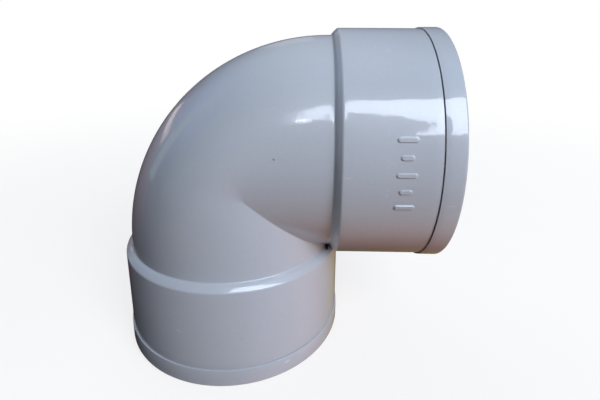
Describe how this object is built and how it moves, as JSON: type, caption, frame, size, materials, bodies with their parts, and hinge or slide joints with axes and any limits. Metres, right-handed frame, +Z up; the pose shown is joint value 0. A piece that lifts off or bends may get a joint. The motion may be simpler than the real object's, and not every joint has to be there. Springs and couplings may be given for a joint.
{
  "type": "pipe elbow",
  "caption": "Right-angle elbow in grey moulded PVC for 90 mm pipe or duct, with a socket, retaining ring and lip seal at each end.",
  "frame": {"origin": "on the plane that the lower mouth stands on, under the middle of the elbow's overall outline", "axes": "+Z up, out of the lower socket's mouth reversed; +X out of the upper socket's mouth; +Y away from the side with the raised mark"},
  "size_m": [0.151, 0.1082, 0.1511],
  "materials": {
    "grey_pvc": "glossy moulded light grey PVC",
    "ring_pvc": "glossy moulded light grey PVC",
    "seal_rubber": "matte black rubber"
  },
  "bodies": {
    "root": {"elbow_body": "grey_pvc", "lower_end_ring": "ring_pvc", "upper_end_ring": "ring_pvc", "lower_seal_ring": "seal_rubber", "upper_seal_ring": "seal_rubber"}
  },
  "joints": []
}
